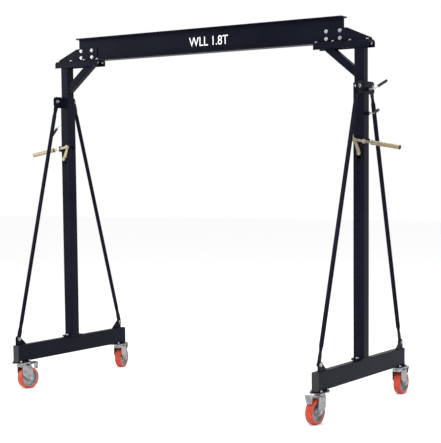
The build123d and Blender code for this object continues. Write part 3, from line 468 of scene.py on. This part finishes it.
# %% [markdown]
# ## Turned shapes and tubes along a line
# Two more helpers make nearly everything. A turned shape is a profile of (distance along an axis,
# radius) pairs spun round the axis, as on a lathe. A bead is a tube along a line that lies in a
# plane: each ring stands square to the line, so it needs only the line's direction and the plane's
# normal.

# %% Turned shapes and beads
def square_to(axis):
    """Two unit vectors square to an axis and to each other."""
    axis = np.asarray(axis, float)
    helper = np.array((0.0, 0.0, 1.0)) if abs(axis[2]) < 0.9 else np.array((1.0, 0.0, 0.0))
    first = np.cross(axis, helper)
    first /= np.linalg.norm(first)
    return first, np.cross(axis, first)


def turned(centre, axis, profile, sides=24, ring=False):
    """point = centre + axis h + r (first cos t + second sin t), for each (h, r) of the profile.
    A ring's profile is a closed outline, so its rows go round the axis and close in a loop."""
    first, second = square_to(axis)
    along, radius = np.asarray(profile, float).T
    turn = np.linspace(0, 2 * pi, sides, endpoint=False)[:, None, None]
    round_axis = first * np.cos(turn) + second * np.sin(turn)
    grid = np.asarray(centre, float) + np.outer(along, axis) + round_axis * radius[:, None]
    return (grid, True) if ring else (grid.transpose(1, 0, 2), False)


def washer(centre, axis, outer, inner, thick):
    """A flat ring with slightly broken edges, standing on a plane through its centre."""
    edge = thick * 0.2
    return turned(centre, axis, [(0, inner), (0, outer), (thick - edge, outer), (thick, outer - edge),
                                 (thick, inner)], sides=28, ring=True)


def resampled(line, step, loop):
    """The same line with points at equal steps along it."""
    line = np.asarray(line, float)
    if loop:
        line = np.vstack([line, line[:1]])
    run = np.concatenate([[0], np.cumsum(np.linalg.norm(np.diff(line, axis=0), axis=1))])
    count = max(int(round(run[-1] / step)), 4)
    stations = np.linspace(0, run[-1], count, endpoint=not loop)
    return np.stack([np.interp(stations, run, line[:, axis]) for axis in range(3)], 1), stations


weld_radius = 0.0028
weld_pitch = 0.0042


def weld(line, normal, loop=False, radius=weld_radius):
    """A bead along a line: r(s) = radius (0.84 + 0.16 |cos(pi s / pitch)|), swelling once a pitch."""
    path, run = resampled(line, weld_pitch / 4, loop)
    forward = np.roll(path, -1, 0) - np.roll(path, 1, 0)
    if not loop:
        forward[0], forward[-1] = path[1] - path[0], path[-1] - path[-2]
    forward /= np.linalg.norm(forward, axis=1, keepdims=True)
    normal = np.asarray(normal, float)
    sideways = np.cross(forward, normal)
    swell = radius * (0.84 + 0.16 * np.abs(np.cos(pi * run / weld_pitch)))
    if not loop:
        ends = np.minimum(run, run[-1] - run) / radius
        swell = swell * np.sqrt(np.clip(ends, 0.08, 1.0))
    turn = np.linspace(0, 2 * pi, 8, endpoint=False)
    rings = np.cos(turn)[None, :, None] * normal + np.sin(turn)[None, :, None] * sideways[:, None, :]
    return path[:, None, :] + rings * swell[:, None, None], loop


def rounded_loop(centre, across, up, half_across, half_up, corner=0.0):
    """Outline of a rectangle with quarter-circle corners, in the plane of two unit vectors."""
    turn = np.linspace(0, pi / 2, 6) if corner else np.array([pi / 4])
    quarter = corner * np.stack([np.cos(turn), np.sin(turn)], 1)
    outline = []
    for count in range(4):
        swing = np.array([[cos(count * pi / 2), -sin(count * pi / 2)],
                          [sin(count * pi / 2), cos(count * pi / 2)]])
        sign = swing @ (1, 1)
        outline.append(np.sign(sign) * (half_across - corner, half_up - corner) + quarter @ swing.T)
    flat = np.concatenate(outline)
    return np.asarray(centre) + flat[:, :1] * np.asarray(across) + flat[:, 1:] * np.asarray(up)


X, Y, Z = np.eye(3)
print("a washer has", turned((0, 0, 0), Z, [(0, 1), (1, 1)])[0].shape, "points in its grid")

# %% [markdown]
# ## Sizes taken from the frame
# Boxes of the CAD nodes give the heights and faces that the small pieces sit on. The stands mirror
# each other, so each place is written once for a side of +1 (right) or -1 (left).

# %% Heights and faces
def corners_of(node):
    """Lowest and highest corner of a CAD node, as arrays."""
    low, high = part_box(node)
    return np.array(low), np.array(high)


mast_low, mast_high = corners_of("right_inner_mast")
upright_low, upright_high = corners_of("right_outer_upright")
base_low, base_high = corners_of("right_base_beam")
saddle_high = corners_of("right_saddle")[1]
knee_low, knee_high = corners_of("right_knee_brace")

leg_x = (mast_low[0] + mast_high[0]) / 2
mast_half = (mast_high[0] - mast_low[0]) / 2
upright_half = leg_x - upright_low[0]
upright_top = upright_high[2]
base_top, base_under = base_high[2], base_low[2]
foot_plate_thick = 0.012
foot_top = base_top + foot_plate_thick
seat_z, mast_top = saddle_high[2], mast_high[2]
sides = {"right": 1, "left": -1}
print("legs at", round(leg_x, 4), "base top", round(base_top, 4), "beam seat", round(seat_z, 4))


def at(side, inward, y, z):
    """A point on one stand, given by its distance inwards from the upright's centreline."""
    return np.array((side * (leg_x - inward), y, z))


# %% [markdown]
# ## Weld beads
# The frame's tubes and plates are joined by arc welding, which leaves a rounded bead with ripples,
# like coins laid over each other. A bead could be painted on with bump, but it catches the light
# from every side, so here it is real geometry, in the same powder coat as the frame.

# %% Welds on the stands
foot_lug_out, top_lug_out, lug_half = 0.012, 0.030, 0.004
foot_lug_ends = (0.497, 0.597)
plate_weld_ends = (0.505, 0.605)
foot_plate_ends = (0.042, 0.067)
top_lug_weld = (upright_top - 0.072, upright_top - 0.008)
pin_heights, boss_radius = (upright_top - 0.043, upright_top - 0.193), 0.012


def stand_welds(side):
    """Beads round the foot of the upright and beside every plate that is welded to the stand."""
    square = rounded_loop(at(side, 0, 0, foot_top), X, Y, upright_half, upright_half, 0.006)
    beads = [weld(square, Z, loop=True, radius=0.0034)]
    for height in pin_heights:
        turn = np.linspace(0, 2 * pi, 40, endpoint=False)[:, None]
        ring = at(side, -upright_half, 0, height) + boss_radius * (np.cos(turn) * Y + np.sin(turn) * Z)
        beads.append(weld(ring, X, loop=True, radius=0.0022))
    for end in (-1, 1):
        for face in (-1, 1):
            top_face, foot_face = face * lug_half - top_lug_out, face * lug_half - foot_lug_out
            beam_face = face * (base_high[0] - leg_x)
            beads.append(weld([at(side, top_face, end * upright_half, z) for z in top_lug_weld], X))
            beads.append(weld([at(side, foot_face, end * y, base_top) for y in foot_lug_ends], X))
            beads.append(weld([at(side, beam_face, end * y, base_under) for y in plate_weld_ends], X))
            beads.append(weld([at(side, beam_face, end * y, base_top) for y in foot_plate_ends], X))
    return beads


def bracket_welds(side):
    """Beads above and below the bracket of the lever, on the front of the upright."""
    low, high = corners_of("fulcrum_brackets")
    inner, outer = 0.014, upright_half
    return [weld([at(side, -inner, -upright_half, z), at(side, -outer, -upright_half, z)], Y)
            for z in (low[2], high[2])]


welds = [bead for side in sides.values() for bead in stand_welds(side) + bracket_welds(side)]
piece("stand_welds", welds, frame_coat, "stands")

# %% Welds on the lifting frame
knee_angle = radians(39.3)
knee_half = (knee_high[1] - knee_low[1]) / 2


def lift_welds(side):
    """Beads round the mast's top and both cut ends of the knee brace, and along the gusset's foot."""
    mast_ring = rounded_loop(at(side, 0, 0, mast_top), X, Y, mast_half, mast_half, 0.006)
    rise = knee_half / cos(knee_angle)
    run = knee_half / sin(knee_angle)
    low_end = at(side, mast_half, 0, knee_low[2] + rise)
    top_end = at(side, leg_x - knee_low[0] - run, 0, mast_top)
    low_ring = rounded_loop(low_end, Y, Z, knee_half, rise, 0.006)
    top_ring = rounded_loop(top_end, X, Y, run, knee_half, 0.006)
    beads = [weld(mast_ring, Z, loop=True), weld(low_ring, X, loop=True), weld(top_ring, Z, loop=True)]
    for face in (-1, 1):
        corner_y = face * 0.009
        beads.append(weld([at(side, 0.112, corner_y, seat_z + 0.008),
                           at(side, -0.068, corner_y, seat_z + 0.008)], X))
    return beads


piece("lift_welds", [bead for side in sides.values() for bead in lift_welds(side)], frame_coat, "lift")

# %% [markdown]
# ## Washers and threads
# Each bolt head and nut sits on a washer, and a few turns of thread stand out of each nut. At this
# size a thread's slope can't be seen, so its turns are made as separate ridges: a zigzag profile
# spun round the bolt, which costs far fewer faces than a true helix.

# %% Bolt dressing
thread_pitch = {0.012: 0.00175, 0.010: 0.0015, 0.008: 0.00125}


def threaded_tip(centre, axis, size, length):
    """Ridges one pitch apart over a bolt's end: the radius goes from 0.5 % to 6 % over the shank's."""
    pitch = thread_pitch[size]
    turns = max(int(length / pitch), 1)
    along = np.arange(2 * turns + 1) * pitch / 2
    radius = np.where(np.arange(2 * turns + 1) % 2, 1.06, 1.005) * size / 2
    return turned(centre, axis, np.stack([along, radius], 1), sides=18)


def dressed_bolt(head_seat, axis, size, grip):
    """A washer under the head, one under the nut, and the thread beyond the nut."""
    axis = np.asarray(axis, float)
    nut_seat = head_seat - axis * grip
    tip_start = nut_seat - axis * 0.85 * size
    return [washer(head_seat, axis, 1.06 * size, 0.52 * size, 0.0016),
            washer(nut_seat, -axis, 1.06 * size, 0.52 * size, 0.0016),
            threaded_tip(tip_start, -axis, size, 0.44 * size)]


gusset_face = 0.009
web_bolt_inward, web_bolt_rise = (0.144, 0.242), (0.029, 0.077)
web_bolt_size, web_bolt_grip = 0.012, 0.018
saddle_bolt_y, saddle_bolt_size, saddle_thick = 0.028, 0.010, 0.008
saddle_bolt_rows = ((-0.057, 0.008), (0.0635, 0.008), (0.184, 0.009), (0.3045, 0.009))
beam_dressing = []
for side in sides.values():
    for inward in web_bolt_inward:
        for rise in web_bolt_rise:
            beam_dressing += dressed_bolt(at(side, inward, -gusset_face, seat_z + rise), -Y,
                                          web_bolt_size, web_bolt_grip)
    for inward, plate in saddle_bolt_rows:
        for y in (-saddle_bolt_y, saddle_bolt_y):
            beam_dressing += dressed_bolt(at(side, inward, y, seat_z + plate), Z, saddle_bolt_size,
                                          plate + saddle_thick)
piece("beam_bolt_dressing", beam_dressing, bolt_zinc, "lift", smooth=False)

stand_dressing = []
foot_bolt_y, stand_bolt_size, foot_bolt_grip, lug_bolt_grip = 0.055, 0.012, 0.016, 0.014
brace_pivots = [(foot_lug_out, 0.575, base_top + 0.042), (top_lug_out, 0.094, upright_top - 0.025)]
for side in sides.values():
    for end in (-1, 1):
        stand_dressing += dressed_bolt(at(side, 0, end * foot_bolt_y, foot_top), Z, stand_bolt_size,
                                       foot_bolt_grip)
        for out, y, z in brace_pivots:
            stand_dressing += dressed_bolt(at(side, -out - lug_half, end * y, z), side * X,
                                           stand_bolt_size, lug_bolt_grip)
piece("stand_bolt_dressing", stand_dressing, bolt_zinc, "stands", smooth=False)

# %% [markdown]
# ## The marking on the beam
# A gantry carries its safe working load in big letters on the beam. The letters are a text object,
# made heavier with an offset, given a hair of thickness and turned into a mesh before it is stood up
# against the web, because the frame wants every piece at the origin with its place in its mesh.

# %% Beam marking
marking_text, marking_height, marking_width = "WLL 1.8T", 0.062, 0.315
marking_x, marking_z = 0.049, 2.400
web_half = 0.003


def stencil_white(name):
    """White marking paint, a little thin in places."""
    ink = Finish(name, Specular_IOR_Level=0.3)
    thin = ink.noise(90.0, detail=5.0).between(0.62, 0.80)
    ink.feed("Base Color", ink.mixed(thin * 0.35, (0.86, 0.87, 0.88), (0.42, 0.43, 0.46)))
    ink.feed("Roughness", 0.45 + thin * 0.2)
    ink.relief(thin, 0.00005)
    return ink.material


text = bpy.data.curves.new("beam_marking", "FONT")
text.body, text.size, text.offset, text.extrude = marking_text, 1.0, 0.002, 0.001
drawn = bpy.data.objects.new("drawn_marking", text)
bpy.context.scene.collection.objects.link(drawn)
bpy.context.view_layer.update()
graph = bpy.context.evaluated_depsgraph_get()
marking_mesh = bpy.data.meshes.new_from_object(drawn.evaluated_get(graph))
bpy.data.objects.remove(drawn)

flat = np.empty(len(marking_mesh.vertices) * 3)
marking_mesh.vertices.foreach_get("co", flat)
flat = flat.reshape(-1, 3)
middle, span = (flat.max(0) + flat.min(0)) / 2, np.ptp(flat, axis=0)
flat = (flat - middle) / span * (marking_width, marking_height, 0.0004)
stood = np.stack([flat[:, 0] + marking_x, -web_half - 0.0001 - flat[:, 2], flat[:, 1] + marking_z], 1)
marking_mesh.vertices.foreach_set("co", stood.ravel())
marking_mesh.materials.clear()
marking_mesh.materials.append(stencil_white("marking_white"))
marking = bpy.data.objects.new("beam_marking", marking_mesh)
bpy.context.scene.collection.objects.link(marking)
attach(marking, "lift")
print("marking", [round(float(value), 3) for value in np.ptp(stood, axis=0)])

# %% [markdown]
# ## Ribbed grips
# The bent ends of the lock pins wear dipped rubber grips. The CAD grip is a plain rounded rod, so a
# ribbed one takes its place. Its axis isn't written anywhere: it is found from the CAD grip's own
# points, as the direction in which they spread the most.

# %% Grips on the lock pins
def long_axis(node):
    """Both ends of a slender node's axis, from the mean of its points and their widest direction."""
    mesh = frame["nodes"][node].data
    points = np.empty(len(mesh.vertices) * 3)
    mesh.vertices.foreach_get("co", points)
    points = np.unique(points.reshape(-1, 3).round(6), axis=0)
    direction = np.linalg.svd(points - points.mean(0), full_matrices=False)[2][0]
    centre = (corners_of(node)[0] + corners_of(node)[1]) / 2
    run = (points - centre) @ direction
    ends = [centre + direction * run.min(), centre + direction * run.max()]
    return sorted(ends, key=lambda end: abs(end[0]))


grip_radius = 0.0095


def ribbed_grip(name, node, body):
    """r(s) = R (0.93 + 0.07 cos(2 pi s / pitch)) between a flange and a rounded end."""
    start, tip = long_axis(node)
    length = np.linalg.norm(tip - start)
    axis = (tip - start) / length
    rib_pitch, flange, dome = 0.0052, 0.006, 0.008
    body_run = np.arange(flange, length - dome, rib_pitch / 8)
    ribs = grip_radius * (0.93 + 0.07 * np.cos(2 * pi * (body_run - flange) / rib_pitch))
    dome_turn = np.linspace(0, pi / 2 * 0.93, 8)
    profile = np.concatenate([
        [(0.0, 0.0056), (0.0, 0.0088), (0.0008, 0.0095), (0.0032, 0.0095), (0.0040, 0.0088)],
        np.stack([body_run, ribs], 1),
        np.stack([length - dome + dome * np.sin(dome_turn), grip_radius * 0.95 * np.cos(dome_turn)], 1),
    ])
    made = piece(name, [turned(start, axis, profile, sides=32)], grip_rubber, body)
    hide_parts(node)
    return made


for hand in sides:
    for level in ("upper", "lower"):
        ribbed_grip(f"{hand}_{level}_ribbed_grip", f"{hand}_{level}_pin_grip", f"{hand}_{level}_pin")

# %% [markdown]
# ## Lever ends
# The pump lever's handle is a tube, pinned to a flat bar. A black plug closes its open end, and a rolled collar
# with a cross pin stiffens the other.

# %% Lever plugs, collars and cross pins
lever_slope = radians(10.0)
sleeve_start_out, sleeve_end_out = 0.096, 0.288
pivot_out = 0.048


def dress_lever(hand, side):
    """A plug, a collar and a cross pin on the lever of one stand."""
    pivot = np.array(joints[f"{hand}_lever_swing"]["pos_m"])
    along = np.array((side * cos(lever_slope), 0, -sin(lever_slope)))
    on_axis = pivot - 0.006 * Y

    def station(out):
        return on_axis + along * (out - pivot_out) / cos(lever_slope)

    plug = turned(station(sleeve_end_out), along,
                  [(-0.001, 0.0125), (0.0, 0.0144), (0.0025, 0.0144), (0.0048, 0.0125), (0.0056, 0.009)],
                  sides=32)
    piece(f"{hand}_lever_plug", [plug], cap_plastic, f"{hand}_lever")
    collar = turned(station(sleeve_start_out), along,
                    [(0.0, 0.0120), (0.0, 0.0150), (0.0012, 0.0156), (0.0100, 0.0156), (0.0112, 0.0150),
                     (0.0112, 0.0135)], sides=32, ring=True)
    cross = turned(station(sleeve_start_out + 0.018) + Y * 0.0158, -Y,
                   [(0.0, 0.0022), (0.0008, 0.0030), (0.0308, 0.0030), (0.0316, 0.0022)], sides=16)
    piece(f"{hand}_lever_collar", [collar, cross], lever_zinc, f"{hand}_lever")


for hand, side in sides.items():
    dress_lever(hand, side)

# %% [markdown]
# ## Casters up close
# A heavy caster has a pressed fork under a ball race, a cast wheel with a bearing, and a brake
# pedal with a pressed tread pattern. The CAD nodes give their shapes. These pieces add the dust
# ring of the race, washers on the axle, the bearing's cover and grease nipple, the parting line of
# the tyre and the ribs of the pedal.

# %% Caster details
wheel_radius = 0.076


def dress_swivel(corner):
    """Axle washers and spacers, and the dust ring round the ball race, all on the swivelling fork."""
    swivel, axle, across, _ = caster_axes(corner)
    skins = []
    for way in (-1, 1):
        skins.append(washer(axle + across * way * 0.036, across * way, 0.0125, 0.0062, 0.0016))
        skins.append(washer(axle + across * way * 0.0294, across * way, 0.011, 0.0062, 0.0014))
    race = swivel * (1, 1, 0)
    skins.append(turned(race + Z * 0.1660, Z,
                        [(0, 0.0362), (0.0006, 0.0372), (0.0054, 0.0372), (0.0060, 0.0362),
                         (0.0060, 0.0355), (0, 0.0355)], sides=48, ring=True))
    piece(f"{corner}_swivel_rings", skins, bolt_zinc, f"{corner}_swivel")


pedal_climb, pedal_heel = np.tan(radians(8.0)), 0.0075
pedal_face, tongue_out = 0.012, 0.069


def pedal_rib(half):
    """Profile of a rib that is half long either way from its middle, with tapered ends."""
    return [(-half, 0.0008), (0.0008 - half, 0.0015), (half - 0.0008, 0.0015), (half, 0.0008)]


def dress_pedal(corner):
    """Ribs across the top of the brake pedal and down the face of its tongue, for grip."""
    _, _, across, trail = caster_axes(corner)
    pin = np.array(joints[f"{corner}_pedal_press"]["pos_m"])
    skins = []
    for out in np.arange(0.018, 0.066, 0.0105):
        top = pin + trail * out + Z * (pedal_face + (out + pedal_heel) * pedal_climb)
        skins.append(turned(top, across, pedal_rib(0.029), sides=12))
    for drop in np.arange(-0.008, 0.024, 0.0095):
        half = 0.0225 - 0.18 * (drop + 0.008)
        skins.append(turned(pin + trail * tongue_out - Z * drop, across, pedal_rib(half), sides=12))
    piece(f"{corner}_pedal_ribs", skins, caster_zinc, f"{corner}_pedal")


def dress_wheel(corner):
    """Bearing covers and a grease nipple on the hub, and the parting line round the tyre."""
    _, axle, across, _ = caster_axes(corner)
    covers = []
    for way in (-1, 1):
        face = axle + across * way * 0.029
        covers.append(turned(face, across * way,
                             [(-0.001, 0.0075), (0.0002, 0.0075), (0.0002, 0.0172), (-0.0002, 0.0180),
                              (-0.001, 0.0180)], sides=40, ring=True))
    nipple_foot = axle + across * 0.014 + Z * 0.0232
    covers.append(turned(nipple_foot, Z, [(0, 0.0034), (0.003, 0.0034), (0.0032, 0.0022),
                                          (0.0055, 0.0022), (0.0062, 0.0028), (0.0076, 0.0016)], sides=14))
    piece(f"{corner}_bearing_covers", covers, bolt_zinc, f"{corner}_wheel")
    seams = [turned(axle + across * offset, across,
                    [(-0.0004, wheel_radius - 0.0026), (0, wheel_radius - 0.0019),
                     (0.0004, wheel_radius - 0.0026)],
                    sides=96, ring=True) for offset in (-0.0232, 0.0232)]
    piece(f"{corner}_tyre_seams", seams, tyre_finishes[corner], f"{corner}_wheel")


for corner in corners:
    dress_swivel(corner)
    dress_pedal(corner)
    dress_wheel(corner)
